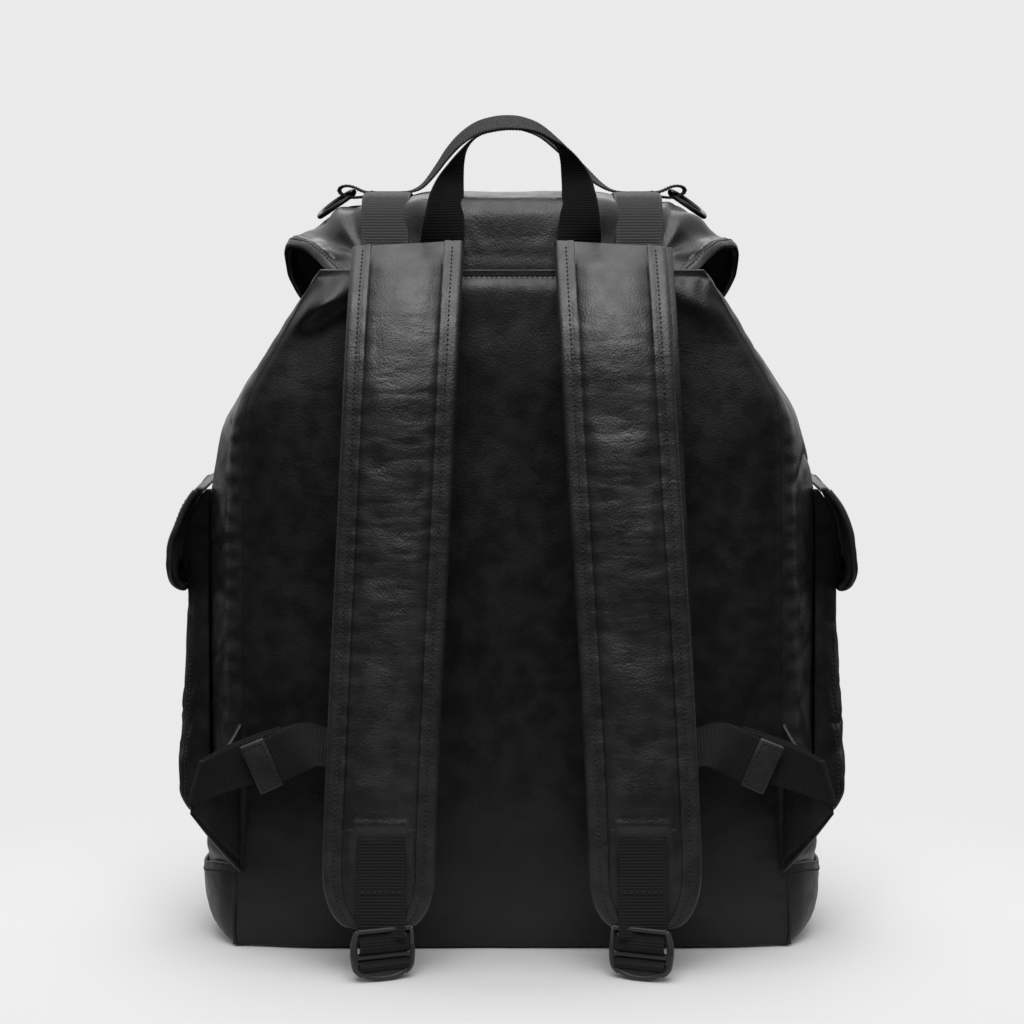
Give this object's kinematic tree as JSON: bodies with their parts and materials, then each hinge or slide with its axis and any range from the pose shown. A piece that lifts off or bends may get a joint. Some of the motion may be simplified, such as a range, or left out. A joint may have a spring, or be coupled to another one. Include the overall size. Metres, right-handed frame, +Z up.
{
  "type": "rucksack",
  "caption": "Black leather rucksack with flap lid, webbing grab handle, side and front pockets, and padded shoulder straps with ladder-lock buckles.",
  "frame": {"origin": "on the floor, in the middle of the bag's width, 75 mm in front of the back panel's outer face", "axes": "+Z up; -Y is the wearer's side with the back panel and shoulder straps, +Y is the front; +X is to the right when looking at the back panel"},
  "size_m": [0.3964, 0.2454, 0.4644],
  "materials": {
    "leather": "smooth semi-gloss black leather with fine grain",
    "lining": "plain woven lining",
    "foam": "closed-cell foam padding",
    "board": "stiffener board",
    "webbing": "ribbed black polyester webbing",
    "plastic": "moulded black acetal",
    "metal": "black lacquered metal"
  },
  "bodies": {
    "bag": {"back_panel": "leather", "back_foam": "foam", "back_lining": "lining", "back_yoke": "leather", "side_gusset_left": "leather", "side_gusset_right": "leather", "front_panel": "leather", "base_boot": "leather", "base_board": "board", "neck_collar": "leather", "drawcord": "webbing", "eyelet_left": "metal", "eyelet_right": "metal", "side_pocket_left": "leather", "side_pocket_right": "leather", "side_pocket_snap_left": "metal", "side_pocket_snap_right": "metal", "front_pocket": "leather", "front_pocket_snap": "metal", "closure_snap_base_left": "metal", "closure_snap_base_right": "metal", "strap_anchor_left": "leather", "strap_anchor_right": "leather"},
    "lid": {"lid_shell": "leather", "lid_webbing_left": "webbing", "lid_webbing_right": "webbing", "carry_handle": "webbing", "cross_strap": "webbing"},
    "front_flap": {"front_pocket_flap": "leather", "front_flap_snap": "metal"},
    "cord_lock_body": {"cord_lock": "plastic"},
    "cord_button": {"cord_lock_button": "plastic"},
    "side_flap_left": {"side_pocket_flap_left": "leather", "side_flap_snap_left": "metal"},
    "strap_left": {"shoulder_strap_left": "leather", "strap_backing_left": "leather", "strap_foam_left": "foam", "strap_tab_left": "webbing", "lower_webbing_left": "webbing"},
    "buckle_left": {"ladder_lock_left": "plastic", "threaded_webbing_left": "webbing"},
    "tail_left": {"webbing_tail_left": "webbing", "tail_tip_left": "leather"},
    "ring_left_body": {"ring_left": "metal"},
    "closure_left": {"closure_strap_left": "webbing", "closure_snap_cap_left": "metal"},
    "side_flap_right": {"side_pocket_flap_right": "leather", "side_flap_snap_right": "metal"},
    "strap_right": {"shoulder_strap_right": "leather", "strap_backing_right": "leather", "strap_foam_right": "foam", "strap_tab_right": "webbing", "lower_webbing_right": "webbing"},
    "buckle_right": {"ladder_lock_right": "plastic", "threaded_webbing_right": "webbing"},
    "tail_right": {"webbing_tail_right": "webbing", "tail_tip_right": "leather"},
    "ring_right_body": {"ring_right": "metal"},
    "closure_right": {"closure_strap_right": "webbing", "closure_snap_cap_right": "metal"}
  },
  "joints": [
    {"name": "lid_hinge", "type": "hinge", "parent": "bag", "child": "lid", "pos_m": [0, -0.0695, 0.3912], "axis": [1, 0, 0], "range_deg": [0, 95]},
    {"name": "front_flap_hinge", "type": "hinge", "parent": "bag", "child": "front_flap", "pos_m": [0, 0.06316, 0.244], "axis": [1, 0, 0], "range_deg": [0, 85]},
    {"name": "cord_lock_slide", "type": "slide", "parent": "bag", "child": "cord_lock_body", "axis": [0, 0, 1], "range_m": [-0.015, 0]},
    {"name": "cord_lock_button_press", "type": "slide", "parent": "cord_lock_body", "child": "cord_button", "axis": [0, -1, 0], "range_m": [0, 0.0018], "stiffness_N_per_m": 60, "springref_m": -0.002},
    {"name": "side_flap_left_hinge", "type": "hinge", "parent": "bag", "child": "side_flap_left", "pos_m": [-0.1735, 0, 0.257], "axis": [0, 1, 0], "range_deg": [0, 110]},
    {"name": "strap_left_swing", "type": "hinge", "parent": "bag", "child": "strap_left", "pos_m": [-0.0565, -0.0715, 0.3845], "axis": [-1, 0, 0], "range_deg": [0, 25]},
    {"name": "ladder_lock_left_tilt", "type": "hinge", "parent": "strap_left", "child": "buckle_left", "pos_m": [-0.0697, -0.14198, 0.0235], "axis": [-1, 0, 0], "range_deg": [-20, 40]},
    {"name": "tail_left_slide", "type": "slide", "parent": "strap_left", "child": "tail_left", "axis": [-0.915, 0.02, -0.403], "range_m": [0, 0.016]},
    {"name": "ring_left_flip", "type": "hinge", "parent": "lid", "child": "ring_left_body", "pos_m": [-0.0925, -0.004, 0.4195], "axis": [0, 1, 0], "range_deg": [0, 100]},
    {"name": "closure_left_lift", "type": "hinge", "parent": "lid", "child": "closure_left", "pos_m": [-0.0695, 0.0775, 0.3395], "axis": [1, 0, 0], "range_deg": [0, 110]},
    {"name": "side_flap_right_hinge", "type": "hinge", "parent": "bag", "child": "side_flap_right", "pos_m": [0.1735, 0, 0.257], "axis": [0, -1, 0], "range_deg": [0, 110]},
    {"name": "strap_right_swing", "type": "hinge", "parent": "bag", "child": "strap_right", "pos_m": [0.0565, -0.0715, 0.3845], "axis": [-1, 0, 0], "range_deg": [0, 25]},
    {"name": "ladder_lock_right_tilt", "type": "hinge", "parent": "strap_right", "child": "buckle_right", "pos_m": [0.0697, -0.14198, 0.0235], "axis": [-1, 0, 0], "range_deg": [-20, 40]},
    {"name": "tail_right_slide", "type": "slide", "parent": "strap_right", "child": "tail_right", "axis": [0.915, 0.02, -0.403], "range_m": [0, 0.016]},
    {"name": "ring_right_flip", "type": "hinge", "parent": "lid", "child": "ring_right_body", "pos_m": [0.0925, -0.004, 0.4195], "axis": [0, -1, 0], "range_deg": [0, 100]},
    {"name": "closure_right_lift", "type": "hinge", "parent": "lid", "child": "closure_right", "pos_m": [0.0695, 0.0775, 0.3395], "axis": [1, 0, 0], "range_deg": [0, 110]}
  ]
}
